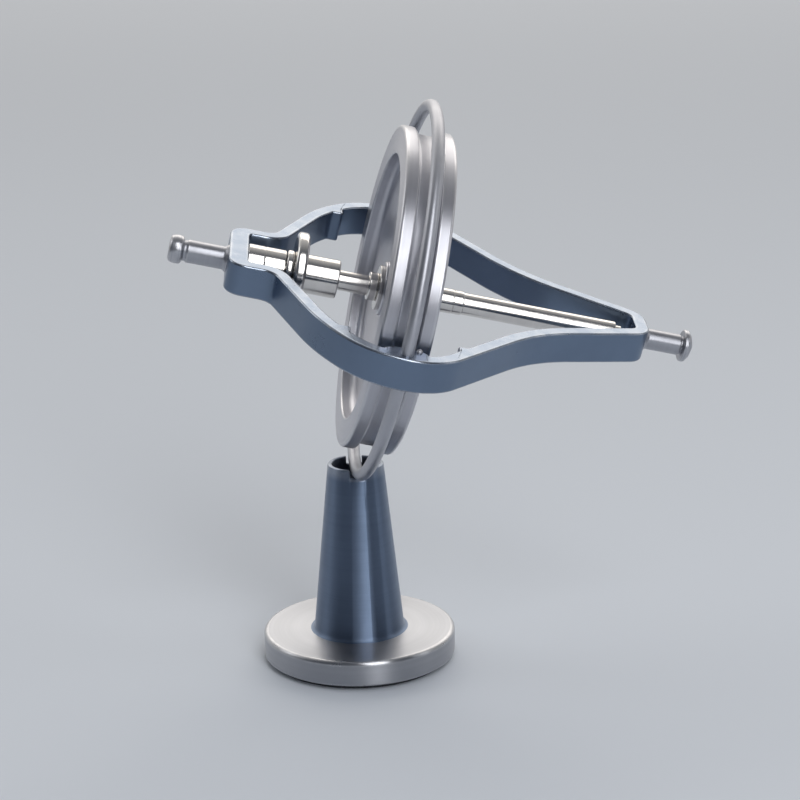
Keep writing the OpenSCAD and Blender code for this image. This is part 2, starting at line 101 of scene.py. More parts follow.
# the studio: metres, watts and degrees
LAMP_AIM = (0.01, 0.0, 0.05)
WARM, WHITE = (1.0, 0.93, 0.84), (1.0, 1.0, 1.0)
LAMPS = (  # name, place, width, height, power, tint
    ("back_lamp", (0.45, 2.2, 1.75), 3.4, 1.9, 28.0, WARM),
    ("front_lamp", (0.26, -0.84, 0.66), 0.42, 1.10, 6.0, WHITE),
    ("right_lamp", (0.66, -0.12, 0.34), 0.26, 0.45, 0.35, WHITE),
    ("left_lamp", (-0.55, 0.22, 0.46), 0.26, 0.30, 0.35, WHITE),
)
AIR_FRONT, AIR_BACK = (0.10, 0.11, 0.13), (0.80, 0.79, 0.77)
FLOOR_HALF = 3.0
CAMERA_TURN = (-5.000, 15.420, 1.043)  # yaw, pitch and roll
CAMERA_PLACE = (-0.0204, -0.3218, 0.1345)
CAMERA_LENS, CAMERA_SENSOR = 89.6, 36.0


# -------- settings


def length(name, text, mm):
    """A size in metres with its name and tooltip; the default is given in millimetres."""
    return FloatProperty(
        name=name, description=text, default=mm * MM, min=0.0, precision=5, unit="LENGTH"
    )


def angle(name, text, degrees):
    """An angle with its name and tooltip; the default is given in degrees."""
    return FloatProperty(
        name=name, description=text, default=math.radians(degrees), unit="ROTATION"
    )


def colour(name, text, rgb):
    """A colour with its name and tooltip."""
    return FloatVectorProperty(
        name=name, description=text, default=rgb, min=0.0, max=1.0, size=3, subtype="COLOR"
    )


class GyroBandSettings(bpy.types.PropertyGroup):
    roll: angle("Roll", "Turn of the frame about its axle, near side down", 11)
    height: length("Height", "Height of the band", 5.4)
    thickness: length("Thickness", "Thickness of the band", 2.3)
    half_width: length("Half width", "Half the frame's greatest width", 33)
    yoke_half: length("Yoke half width", "Half the width of the yoke", 8.4)
    yoke_wall: length("Yoke wall", "Thickness of the yoke's end wall", 3.2)
    yoke_reach: length("Yoke reach", "From the flywheel's middle to the yoke's end", 28)
    nose_half: length("Nose half width", "Half the width of the nose", 5.6)
    nose_reach: length("Nose reach", "From the flywheel's middle to the nose's end", 43.2)
    pocket_half: length("Pocket half length", "Half the length of the relief pockets", 8.5)
    lip_inset: length("Lip inset", "From the frame's widest point in to the pockets' lips", 8.7)
    edge: length("Edge", "Rounding of the band's edges", 0.34)


class GyroStubSettings(bpy.types.PropertyGroup):
    yoke_bar: length("Yoke stub radius", "Radius of the stub on the yoke", 1.9)
    yoke_length: length("Yoke stub length", "Length of the yoke stub's round bar", 6.8)
    cap_radius: length("Cap radius", "Radius of the yoke stub's rounded cap", 2.4)
    cap_length: length("Cap length", "Length of the yoke stub's rounded cap", 2.3)
    nose_bar: length("Nose stub radius", "Radius of the stub on the nose", 1.75)
    nose_length: length("Nose stub length", "Length of the nose stub's round bar", 6.3)
    head_radius: length("Head radius", "Radius of the nose stub's domed head", 2.7)
    head_rim: length("Head rim", "Thickness of the head's rim", 0.75)
    dome_height: length("Dome height", "Height of the head's dome", 1.12)


class GyroWheelSettings(bpy.types.PropertyGroup):
    radius: length("Radius", "Outer radius of the flywheel", 27)
    width: length("Width", "Width of the rim", 8.3)
    rim_inner: length("Rim inside", "Inner radius of the rim", 22.2)
    web: length("Web", "Thickness of the web", 3.2)
    groove_width: length("Groove width", "Width of the groove round the rim", 3.8)
    groove_depth: length("Groove depth", "Depth of the groove round the rim", 1.0)
    ring_radius: length("Ring radius", "Radius at the middle of the guard ring's bar", 30.95)
    bar_radius: length("Bar radius", "Radius of the guard ring's bar", 1.05)


class GyroAxleSettings(bpy.types.PropertyGroup):
    thin: length("Thin radius", "Radius under the sleeve and the wheel", 1.675)
    polished: length("Polished radius", "Radius of the polished nose side", 1.85)
    sleeve: length("Sleeve radius", "Radius of the winding sleeve", 3.2)
    sleeve_length: length("Sleeve length", "Length of the winding sleeve", 5.8)
    flange: length("Flange radius", "Radius of the spool flange", 6.6)
    flange_thickness: length("Flange thickness", "Thickness of the spool flange", 1.9)
    barrel: length("Barrel radius", "Radius of the bearing barrel in the yoke", 3.15)
    collar: length("Collar length", "Length of the barrel's first piece", 2.7)
    housing: length("Housing length", "Length of the barrel's second piece", 3.5)


class GyroStandSettings(bpy.types.PropertyGroup):
    base_radius: length("Base radius", "Radius of the base disc", 16.5)
    pad_radius: length("Pad radius", "Radius of the foot pad", 15.2)
    pad_height: length("Pad height", "Thickness of the foot pad", 0.9)
    base_top: length("Base top", "Height of the disc's top above the table", 5.2)
    foot_radius: length("Foot radius", "Radius of the column above its flared foot", 7.7)
    flare: length("Flare", "Radius of the flare at the column's foot", 0.7)
    rim_radius: length("Rim radius", "Radius of the column at its rim", 4.75)
    rim_height: length("Rim height", "Height of the rim above the table", 34.7)
    cup_radius: length("Cup radius", "Radius of the hollow in the column", 4.05)
    cup_depth: length("Cup depth", "Depth of the hollow", 14)
    notch_width: length("Notch width", "Width of the two notches in the rim", 2.7)
    notch_depth: length("Notch depth", "Depth of the notches", 1.4)


class GyroColourSettings(bpy.types.PropertyGroup):
    # the band's steel colour darkened and tinted blue: a painted reflection of dark blue
    # surroundings in its sides
    band: colour("Band", "Satin metal of the frame band", (0.165, 0.22, 0.31))
    ring: colour("Ring", "Satin metal of the guard ring", (0.44, 0.45, 0.49))
    wheel: colour("Flywheel", "Turned metal of the flywheel", (0.52, 0.525, 0.57))
    # column and base disc are one turned metal in two copies: the column's dark blue is a painted
    # reflection of dark blue surroundings in its sides, the disc's pale grey a lit copy for its
    # top
    column: colour("Column", "Turned metal of the column", (0.155, 0.205, 0.295))
    base: colour("Base", "Turned metal of the base disc", (0.38, 0.39, 0.42))
    polished: colour("Polished steel", "Axle, sleeve, flange and barrel", (0.68, 0.66, 0.64))
    dark: colour("Dark steel", "Retaining ring and screw", (0.12, 0.12, 0.13))
    rubber: colour("Foot pad", "Rubber of the foot pad", (0.03, 0.033, 0.04))
    floor: colour("Floor", "Pale floor of the studio", (0.62, 0.66, 0.72))


# -------- surfaces


def axle_frame(roll):
    """3 x 3 matrix whose columns are the axle, the frame's side and the frame's up direction:
    the axle's own fall, then the turn about the axle."""
    u = np.array(SPIN["axis"], float)
    fall = math.atan2(-u[2], u[0])
    s, c = math.sin(fall), math.cos(fall)
    side = np.array([s * math.sin(roll), math.cos(roll), c * math.sin(roll)])
    return np.stack([u, side, np.cross(u, side)], axis=1)


def on_axle(points):
    """Carries points given as axle station, side and height to their place on the tilted axle."""
    m = axle_frame(bpy.context.scene.gyro_band.roll)
    return points @ m.T + np.array(SPIN["pos_m"], float)


def upright(points):
    """Stands a piece turned about the first coordinate on the table: station becomes height."""
    return points[:, [1, 2, 0]]


def in_place(points):
    """Leaves points that are already given as x, y and height."""
    return points


def softened(corners, closed, steps=5, guard=0.12):
    """Rounds a polyline of [station, radius, rounding] in millimetres. At each corner the two
    sides are left at the distance rounding / tan(half angle), and the arc between is the
    spherical blend of its first and last spoke. A guard point before and after each arc keeps
    the flats flat in smooth shading. The second result is 1 on the arcs of outer edges, whose
    colour is lightened as wear from handling together with a painted highlight, and 0 elsewhere."""
    c = np.array(corners, float)
    p, rounding = c[:, :2], c[:, 2]
    before = np.roll(p, 1, axis=0) - p
    after = np.roll(p, -1, axis=0) - p
    lb, la = np.linalg.norm(before, axis=1), np.linalg.norm(after, axis=1)
    db, da = before / lb[:, None], after / la[:, None]
    half = np.arccos(np.clip((db * da).sum(1), -1, 1)) / 2
    t = np.minimum(rounding / np.maximum(np.tan(half), TINY), 0.48 * np.minimum(lb, la))
    if not closed:
        t[0] = t[-1] = 0.0
    r = t * np.tan(half)
    mid = db + da
    mid /= np.maximum(np.linalg.norm(mid, axis=1), TINY)[:, None]
    hub = p + mid * (r / np.maximum(np.sin(half), TINY))[:, None]
    a, b = p + db * t[:, None] - hub, p + da * t[:, None] - hub
    sweep = (math.pi - 2 * half)[:, None, None]
    s = np.linspace(0, 1, steps + 1)[None, :, None]
    whole = np.where(np.sin(sweep) > 1e-6, np.sin(sweep), 1.0)
    spokes = np.sin((1 - s) * sweep) * a[:, None] + np.sin(s * sweep) * b[:, None]
    arc = hub[:, None] + spokes / whole
    gb = np.minimum(t + guard, 0.49 * lb)
    ga = np.minimum(t + guard, 0.49 * la)
    guards = (p + db * gb[:, None])[:, None], (p + da * ga[:, None])[:, None]
    rows = np.concatenate([guards[0], arc, guards[1]], 1)
    area = (p[:, 0] * np.roll(p[:, 1], -1) - p[:, 1] * np.roll(p[:, 0], -1)).sum()
    outer = (after[:, 0] * before[:, 1] - after[:, 1] * before[:, 0]) * area > 0
    # 1 on outer edge arcs: there the colour is lightened, partly wear and partly painted highlight
    wear_and_painted_light = np.zeros(rows.shape[:2])
    wear_and_painted_light[:, 1:-1] = (outer & (t > 0))[:, None]
    if not closed:
        rows[0, :] = p[0]
        rows[-1, :] = p[-1]
    pts, wear_and_painted_light = rows.reshape(-1, 2), wear_and_painted_light.ravel()
    keep = np.linalg.norm(np.roll(pts, 1, axis=0) - pts, axis=1) > 1e-5
    keep[0] = keep[0] or not closed
    return pts[keep], wear_and_painted_light[keep]


def net(index, closed):
    """Four-sided faces of a grid that is closed along its second parameter, and along its
    first one too if asked."""
    cur = index if closed else index[:-1]
    nxt = np.roll(index, -1, axis=0) if closed else index[1:]
    return np.stack([cur, np.roll(cur, -1, 1), np.roll(nxt, -1, 1), nxt], -1).reshape(-1, 4)


def fan(pole, ring):
    """Triangles from a pole to a closed ring of points."""
    return np.stack([np.full(len(ring), pole), np.roll(ring, -1), ring], -1)


def turned(profile, closed, around):
    """Surface of revolution: a profile of [station, radius] turned once about the axle line.
    The two parameters are the place along the profile and the turning angle. A closed profile
    makes a ring; an open one ends on the axis in two poles."""
    n = len(profile)
    phi = np.linspace(0, TURN, around, endpoint=False)
    ring = np.stack([np.zeros(around), np.cos(phi), np.sin(phi)], 1)
    grid = profile[:, None, 1:2] * ring[None] + np.array([1.0, 0, 0]) * profile[:, None, 0:1]
    index = np.arange(n * around).reshape(n, around)
    quads = net(index if closed else index[1:-1], closed)
    tris = NO_TRIANGLES
    if not closed:
        tris = np.concatenate([fan(index[0, 0], index[1]), fan(index[-1, 0], index[-2])])
    return grid.reshape(-1, 3), quads, tris


def solid_piece(name, surface, body, nodes, finish, place=on_axle, sharp=38, wear_and_painted_light=None):
    """Makes the mesh of a piece from a surface of millimetre points, quads and triangles, points
    its faces outwards, smooths it below the given angle, and hangs it on its body in place of
    its nodes, which get its finish too. The attribute edge holds how much each point's colour is
    lightened, as wear together with painted highlight and painted light."""
    verts, quads, tris = surface
    used, flat = np.unique(np.concatenate([quads.ravel(), tris.ravel()]), return_inverse=True)
    q = flat[: quads.size].reshape(-1, 4)
    t = flat[quads.size :].reshape(-1, 3)
    mesh = bpy.data.meshes.new(name)
    mesh.from_pydata(place(verts[used] * MM).tolist(), [], q.tolist() + t.tolist())
    # edge: share of lightened colour at each point, wear together with painted highlight and
    # painted light
    edge = mesh.attributes.new("edge", "FLOAT", "POINT")
    values = np.zeros(len(verts)) if wear_and_painted_light is None else wear_and_painted_light
    edge.data.foreach_set("value", values[used].astype(np.float32))
    work = bmesh.new()
    work.from_mesh(mesh)
    bmesh.ops.remove_doubles(work, verts=work.verts, dist=2e-7)
    bmesh.ops.recalc_face_normals(work, faces=work.faces)
    work.to_mesh(mesh)
    work.free()
    mesh.shade_smooth()
    mesh.set_sharp_from_angle(angle=math.radians(sharp))
    mesh.validate()
    mesh.materials.append(finish_called(finish))
    piece = bpy.data.objects.new(name, mesh)
    bpy.context.scene.collection.objects.link(piece)
    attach(piece, body)
    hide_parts(*nodes)
    dress(nodes, finish)


def turned_piece(name, corners, body, nodes, finish, closed=True, around=144, steps=5,
                 place=on_axle):
    """A lathe-turned piece from its rounded corners."""
    profile, wear_and_painted_light = softened(corners, closed, steps)
    solid_piece(name, turned(profile, closed, around), body, nodes, finish, place,
                wear_and_painted_light=np.repeat(wear_and_painted_light, around))


def drum(start, stop, bore, outer, rounding):
    """Corners of a plain ring between two stations with rounded outer edges."""
    return [[start, bore, 0.05], [stop, bore, 0.05], [stop, outer, rounding],
            [start, outer, rounding]]


# -------- the frame band


def towards(a):
    """Unit vector [station, side] at the angle a in degrees, from the side to the nose."""
    return np.stack([np.sin(np.radians(a)), np.cos(np.radians(a))], -1)


def side_at(u, line):
    """Side of a polyline at a station."""
    return float(np.interp(u, line[:, 0], line[:, 1]))


def band_arcs(s):
    """The arcs of one arm's outer face from the yoke to the nose, in millimetres: centre,
    radius, first and last angle of the outward direction. A hollow bend has a negative radius.
    The slope between crown and sweep is as long as the nose's half width asks."""
    half, yoke, nose = s.half_width / MM, s.yoke_reach / MM, s.nose_reach / MM
    crown, shoulder = np.array([WIDEST, half - CROWN]), np.array([WIDEST, half - SHOULDER])
    flank = shoulder + (SHOULDER - FLANK) * towards(FLANK_END)
    first = towards(FILLET_END)
    side = s.yoke_half / MM + YOKE_FILLET
    fillet = np.array([(first[1] * side - first @ flank - FLANK - YOKE_FILLET) / -first[0], side])
    tip = np.array([nose, s.nose_half / MM]) - NOSE_CORNER
    slope = towards(CROWN_END + 90)
    start = crown + (CROWN + SWEEP) * towards(CROWN_END)
    last = towards(SWEEP_END)
    line = last @ tip + NOSE_CORNER + SWEEP
    sweep = start + (line - last @ start) / (last @ slope) * slope
    return [
        (np.array([YOKE_CORNER - yoke, s.yoke_half / MM - YOKE_CORNER]), YOKE_CORNER, -90, 0),
        (fillet, -YOKE_FILLET, 0, FILLET_END),
        (flank, FLANK, FILLET_END, FLANK_END),
        (shoulder, SHOULDER, FLANK_END, 0),
        (crown, CROWN, 0, CROWN_END),
        (sweep, -SWEEP, CROWN_END, SWEEP_END),
        (tip, NOSE_CORNER, SWEEP_END, 90),
    ]


def arc_line(arcs, inset):
    """Points centre + (radius - inset) (sin a, cos a) of arcs joined by straights."""
    rows = []
    for centre, radius, first, last in arcs:
        r = radius - inset
        count = max(6, int(abs(r * math.radians(last - first)) / ARC_STEP) + 1)
        rows.append(centre + r * towards(np.linspace(first, last, count)))
    return np.concatenate(rows)


def stepped(line, marks):
    """Cuts a polyline at the places nearest to the marks, given as [station, side], and spreads
    as many points evenly over each stretch as STRETCHES says."""
    gap = np.linalg.norm(np.diff(line, axis=0), axis=1)
    at = np.concatenate([[0], np.cumsum(gap)])
    a, b = line[:-1], line[1:]
    stops = []
    for p in np.array(marks):
        f = np.clip(((p - a) * (b - a)).sum(1) / np.maximum(gap**2, 1e-12), 0, 1)
        i = int(np.argmin(np.linalg.norm(a + f[:, None] * (b - a) - p, axis=1)))
        stops.append(at[i] + f[i] * gap[i])
    runs = [np.linspace(x, y, n, endpoint=False) for x, y, n in zip(stops, stops[1:], STRETCHES)]
    wanted = np.concatenate(runs + [stops[-1:]])
    return np.stack([np.interp(wanted, at, line[:, i]) for i in (0, 1)], 1)


def inner_line(s, arcs):
    """Inner face of one arm in millimetres: the outer arcs moved in by the thickness, the thick
    yoke wall, and between the pocket's two lips the pocket's floor with the sloping boss that
    holds the guard ring. The corners are rounded. The second result holds the lips' ends, the
    sides of the pocket's floor at its lips, and the sides of the lips and of the boss."""
    t, half = s.thickness / MM, s.half_width / MM
    wall = -(s.yoke_reach - s.yoke_wall) / MM
    lip, pocket = half - s.lip_inset / MM, s.pocket_half / MM
    foot, tip = half - FOOT_INSET, half - TIP_INSET
    floor = arc_line(arcs, t)
    peak = int(np.argmax(floor[:, 1]))
    rise, left, right = floor[: peak + 1], floor[:peak], floor[peak:]
    i = int(np.argmax(left[:, 1] > lip))
    j = int(np.argmax(right[:, 1] < lip))
    fl, fr = side_at(-pocket, rise), side_at(pocket, right)
    lead, tail = left[:i][left[:i, 0] > wall + YOKE_CLEAR], right[j:]
    el = lead[-1] + (left[i] - lead[-1]) * (lip - lead[-1, 1]) / (left[i, 1] - lead[-1, 1])
    er = right[j - 1] + (right[j] - right[j - 1]) * (lip - right[j - 1, 1]) / (
        right[j, 1] - right[j - 1, 1])
    pl = left[(left[:, 0] > CLEAR - pocket) & (left[:, 0] < -BOSS_FOOT - CLEAR)]
    pr = right[(right[:, 0] > BOSS_FOOT + CLEAR) & (right[:, 0] < pocket - CLEAR)]

    def plain(points):
        return np.column_stack([points, np.zeros(len(points))])

    line, _ = softened(np.concatenate([
        [[wall, 0.0, 0.0], [wall, s.yoke_half / MM - t, 0.5]],
        plain(lead),
        [[*el, RUN_OUT_ROUND], [-pocket, lip, LIP_ROUND], [-pocket, fl, LIP_ROUND]],
        plain(pl),
        [[-BOSS_FOOT, side_at(-BOSS_FOOT, rise), 0.15], [-BOSS_FOOT, foot, 0.2],
         [-BOSS_TIP, tip, 0.3], [BOSS_TIP, tip, 0.3],
         [BOSS_FOOT, foot, 0.2], [BOSS_FOOT, side_at(BOSS_FOOT, right), 0.15]],
        plain(pr),
        [[pocket, fr, LIP_ROUND], [pocket, lip, LIP_ROUND], [*er, RUN_OUT_ROUND]],
        plain(tail),
        [[s.nose_reach / MM - t, 0.0, 0.0]],
    ]), False, 5, 0.02)
    return line, (el, er, fl, fr, lip, foot, tip)


def outward(line, flip):
    """Unit side direction of a closed polyline at each point, from its two neighbours."""
    d = np.roll(line, -1, axis=0) - np.roll(line, 1, axis=0)
    d /= np.maximum(np.linalg.norm(d, axis=1), TINY)[:, None]
    n = np.stack([d[:, 1], -d[:, 0]], 1)
    return -n if flip else n


def band_surface(s):
    """Flat bar bent to the frame's outline. Two parameters: the place along the loop and the
    place round the section, which is the outer face, a rounded edge, the upper face, a rounded
    edge, the inner face and back below. Outer and inner face run through matching marks."""
    arcs = band_arcs(s)
    t, yoke, nose = s.thickness / MM, s.yoke_reach / MM, s.nose_reach / MM
    wall, pocket = -(s.yoke_reach - s.yoke_wall) / MM, s.pocket_half / MM
    outer = np.concatenate([[[-yoke, 0.0]], arc_line(arcs, 0.0), [[nose, 0.0]]])
    inner, (el, er, fl, fr, lip, foot, tip) = inner_line(s, arcs)
    corner, fillet, sweep, end = (arcs[i][0] for i in (0, 1, 5, 6))
    high = outer[outer[:, 1] > 0.3 * s.half_width / MM]

    def bends(inset):
        """Where the two ends of the fillet, of the sweep and of the nose's corner lie."""
        into = -YOKE_FILLET - inset, -SWEEP - inset, NOSE_CORNER - inset
        return ([fillet + into[0] * towards(a) for a in (0, FILLET_END)],
                [sweep + into[1] * towards(a) for a in (CROWN_END, SWEEP_END)]
                + [end + into[2] * towards(a) for a in (SWEEP_END, 90)])

    near, far = bends(0.0)
    over_lip, beside = 0.35, 0.2
    crown = [el[0] - 0.9, -pocket - over_lip, -pocket + over_lip, -BOSS_FOOT - beside,
             -BOSS_FOOT + beside, -BOSS_TIP, BOSS_TIP, BOSS_FOOT - beside, BOSS_FOOT + beside,
             pocket - over_lip, pocket + over_lip, er[0] + 1.2]
    o = stepped(outer, [
        (-yoke, 0.0), corner + YOKE_CORNER * towards(-45), *near,
        *[(u, side_at(u, high)) for u in crown], *far, (nose, 0.0),
    ])
    near, far = bends(t)
    i = stepped(inner, [
        (wall, 0.0), (wall, s.yoke_half / MM - t), *near, el, (-pocket, lip), (-pocket, fl),
        (-BOSS_FOOT, foot + LIP_ROUND), (-BOSS_FOOT, foot), (-BOSS_TIP, tip), (BOSS_TIP, tip),
        (BOSS_FOOT, foot), (BOSS_FOOT, foot + LIP_ROUND), (pocket, fr), (pocket, lip), er, *far,
        (nose - t, 0.0),
    ])
    o = np.concatenate([o, (o * [1, -1])[-2:0:-1]])
    i = np.concatenate([i, (i * [1, -1])[-2:0:-1]])
    e, h, guard = s.edge / MM, s.height / MM / 2, 0.1
    quarter = np.radians(np.linspace(0, 90, 6))
    # each row of the section is the face it belongs to, the depth below it, and the height
    section = [(0, 0.0, h - e - guard)]
    section += [(0, e * (1 - math.cos(x)), h - e + e * math.sin(x)) for x in quarter]
    section += [(0, e + guard, h), (1, e + guard, h)]
    section += [(1, e * (1 - math.sin(x)), h - e + e * math.cos(x)) for x in quarter]
    section += [(1, 0.0, h - e - guard)]
    section += [(face, depth, -z) for face, depth, z in section[::-1]]
    face = np.array([x[0] for x in section])
    depth, z = np.array([x[1:] for x in section]).T
    across = np.stack([outward(o, True), outward(i, False)], 1)
    lines = np.stack([o, i], 1)[:, face] - across[:, face] * depth[None, :, None]
    grid = np.concatenate([lines, np.broadcast_to(z[None, :, None], lines.shape[:2] + (1,))], 2)
    n, m = grid.shape[:2]
    # lightened colour: 1 on the rounded edges, wear with a painted highlight; 0.55 over the flat
    # upper and lower faces, wear with a painted sheen
    flats = np.where(np.abs(depth - e - guard) < TINY, 0.55, 0.0)
    wear_and_painted_light = np.where((depth > 0) & (depth < e + 0.5 * guard), 1.0, flats)
    surface = grid.reshape(-1, 3), net(np.arange(n * m).reshape(n, m), True), NO_TRIANGLES
    return surface, np.tile(wear_and_painted_light, n)


# -------- the column


def notched_column(s):
    """Column with a flared foot, a hollow top and two notches across its rim. The first
    parameter goes round the column; over each notch it follows the notch's outline instead, a
    path of [x, height] with rounded corners, so that both walls of a notch stay flat. The second
    goes up the outer face, over the rim and down the hollow to its drilled point."""
    rim, floor = s.rim_height / MM, (s.rim_height - s.notch_depth) / MM
    top, foot = s.rim_radius / MM, s.foot_radius / MM
    cup, base, flare = s.cup_radius / MM, s.base_top / MM, s.flare / MM
    bottom = rim - s.cup_depth / MM
    w = s.notch_width / MM / 2
    lead = w + NOTCH_LEAD
    path, _ = softened([[-lead, rim, 0], [-w, rim, 0.18], [-w, floor, 0.3], [w, floor, 0.3],
                        [w, rim, 0.18], [lead, rim, 0]], False, 4, 0.03)
    path = path[np.r_[True, np.linalg.norm(np.diff(path, axis=0), axis=1) > 1e-4]]
    start = math.asin(lead / top)
    plain = np.linspace(start, math.pi - start, 60)[1:-1]
    # every step round the column is an angle, a height and an x that rules inside a notch
    notch = np.arcsin(path[:, 0] / top)
    turn = np.concatenate([notch, plain, math.pi + notch, math.pi + plain])
    height = np.concatenate([path[:, 1], np.full(len(plain), rim)] * 2)
    held = np.concatenate([np.abs(path[:, 0]), np.full(len(plain), lead)] * 2)
    firm = np.clip((lead - held) / NOTCH_LEAD, 0, 1)
    firm = firm * firm * (3 - 2 * firm)
    x_side = np.abs(np.sin(turn)) * top
    # every row up the column is a radius, a height, and 1 where the height counts from the rim
    q = np.radians(np.linspace(0, 90, 8))[:-1]
    rows = [(foot + flare - 0.5, base - 0.02, 0.0)]
    rows += [(foot + flare * (1 - math.sin(a)), base + flare * (1 - math.cos(a)), 0.0) for a in q]
    rows += [(foot + (top - foot) * f, base + flare + (rim - base - flare) * f, 0.0)
             for f in np.linspace(0, 0.93, 10)]
    lip = np.radians(np.linspace(0, 90, 5))
    rows += [(top + (foot - top) * 0.012, -LIP_DEPTH, 1.0)]
    rows += [(top - RIM_ROUND * (1 - math.cos(a)), -RIM_ROUND * (1 - math.sin(a)), 1.0)
             for a in lip]
    rows += [(cup + RIM_ROUND * (1 - math.sin(a)), -RIM_ROUND * (1 - math.cos(a)), 1.0)
             for a in lip]
    rows += [(cup, -LIP_DEPTH, 1.0)]
    rows += [(cup, z, 0.0) for z in np.linspace(rim - 2.4, bottom + 0.3, 6)]
    rows += [(cup - 0.08, bottom + 0.08, 0.0), (cup - 0.3, bottom, 0.0), (0.3, bottom - 2.0, 0.0)]
    r, z, tied = np.array(rows).T
    zz = z[None, :] + tied[None, :] * height[:, None]
    front = np.cos(turn) >= 0
    half_turn = np.where(front, 0.0, math.pi)[:, None]
    sign = np.sign(np.where(front, np.sin(turn), -np.sin(turn)))[:, None]
    straight = np.arcsin(np.clip(x_side[:, None] / r[None, :], -1, 1)) * sign
    own = turn[:, None] - half_turn
    near = np.where((r > cup - 0.01) & (r < top + 0.6), 1.0, 0.0)[None, :] * firm[:, None]
    phi = half_turn + own * (1 - near) + straight * near
    grid = np.stack([r[None] * np.sin(phi), -r[None] * np.cos(phi), zz], -1)
    n, m = grid.shape[:2]
    index = np.arange(n * m).reshape(n, m)
    verts = np.concatenate([grid.reshape(-1, 3), [[0, 0, bottom - 2.1], [0, 0, base - 0.02]]])
    tris = np.concatenate([fan(n * m, index[:, -1]), fan(n * m + 1, index[:, 0])])
    # lightened colour: 1 on the rim, wear with a painted highlight; 0.8 down the hollow, painted
    # light that brightens its dark inside
    wear_and_painted_light = np.tile(tied, (n, 1))
    wear_and_painted_light[:, np.arange(m) > np.flatnonzero(tied)[-1]] = 0.8
    return (verts, net(index.T, False), tris), np.concatenate([wear_and_painted_light.ravel(), [0, 0]])


# -------- materials


def node(tree, kind, **sockets):
    """Adds a node; keywords set its properties, or its inputs by their names with _ for space."""
    made = tree.nodes.new(kind)
    for key, value in sockets.items():
        if hasattr(made, key):
            setattr(made, key, value)
        else:
            made.inputs[key.replace("_", " ")].default_value = value
    return made


def spread(tree, source, low, high, to_low, to_high):
    """Maps a factor between two limits to a new pair, and gives the result's socket."""
    made = node(tree, "ShaderNodeMapRange", From_Min=low, From_Max=high, To_Min=to_low,
                To_Max=to_high)
    tree.links.new(source, made.inputs["Value"])
    return made.outputs["Result"]


def blend(tree, factor, a, b):
    """Mixes two colours, each a socket or a plain triple."""
    made = node(tree, "ShaderNodeMix", data_type="RGBA")
    tree.links.new(factor, made.inputs["Factor"])
    for socket, value in (("A", a), ("B", b)):
        if isinstance(value, tuple):
            made.inputs[socket].default_value = (*value, 1)
        else:
            tree.links.new(value, made.inputs[socket])
    return made.outputs["Result"]


def shade(rgb, k):
    """A colour made lighter or darker by a factor."""
    return tuple(min(1.0, c * k) for c in rgb)


def lathe_marks(tree, where, tone, rgb, lathe, stretch, axis, middle):
    """Fine lines that follow the lathe: noise over station and radius, the same all the way
    round. They tone the colour and cut the surface, and the gloss stretches across them. Gives
    the new tone and the bumped normal."""
    link = tree.links.new
    shader = tree.nodes["Principled BSDF"]
    rel = node(tree, "ShaderNodeVectorMath", operation="SUBTRACT")
    station = node(tree, "ShaderNodeVectorMath", operation="DOT_PRODUCT")
    across = node(tree, "ShaderNodeVectorMath", operation="CROSS_PRODUCT")
    radius = node(tree, "ShaderNodeVectorMath", operation="LENGTH")
    both = node(tree, "ShaderNodeCombineXYZ")
    rel.inputs[1].default_value = middle
    station.inputs[1].default_value = across.inputs[1].default_value = axis
    link(where, rel.inputs[0])
    link(rel.outputs[0], station.inputs[0])
    link(rel.outputs[0], across.inputs[0])
    link(across.outputs[0], radius.inputs[0])
    link(station.outputs["Value"], both.inputs["X"])
    link(radius.outputs["Value"], both.inputs["Y"])
    lines = node(tree, "ShaderNodeTexNoise", Scale=3600.0, Detail=3.0, Roughness=0.65)
    broad = node(tree, "ShaderNodeTexNoise", Scale=700.0, Detail=2.0, Roughness=0.5)
    for noise, low, high, most, k in ((lines, 0.3, 0.7, 0.5, 0.86), (broad, 0.35, 0.65, 0.4, 1.1)):
        link(both.outputs[0], noise.inputs["Vector"])
        share = spread(tree, noise.outputs["Fac"], low, high, 0, most)
        tone = blend(tree, share, tone, shade(rgb, k))
    cut = node(tree, "ShaderNodeBump", Strength=lathe, Distance=0.00003)
    link(lines.outputs["Fac"], cut.inputs["Height"])
    shader.inputs["Anisotropic"].default_value = stretch
    shader.inputs["Anisotropic Rotation"].default_value = 0.25
    turn = node(tree, "ShaderNodeVectorTransform", vector_type="VECTOR",
                convert_from="OBJECT", convert_to="WORLD")
    even = node(tree, "ShaderNodeVectorMath", operation="NORMALIZE")
    link(across.outputs[0], turn.inputs[0])
    link(turn.outputs[0], even.inputs[0])
    link(even.outputs[0], shader.inputs["Tangent"])
    return tone, cut.outputs["Normal"]


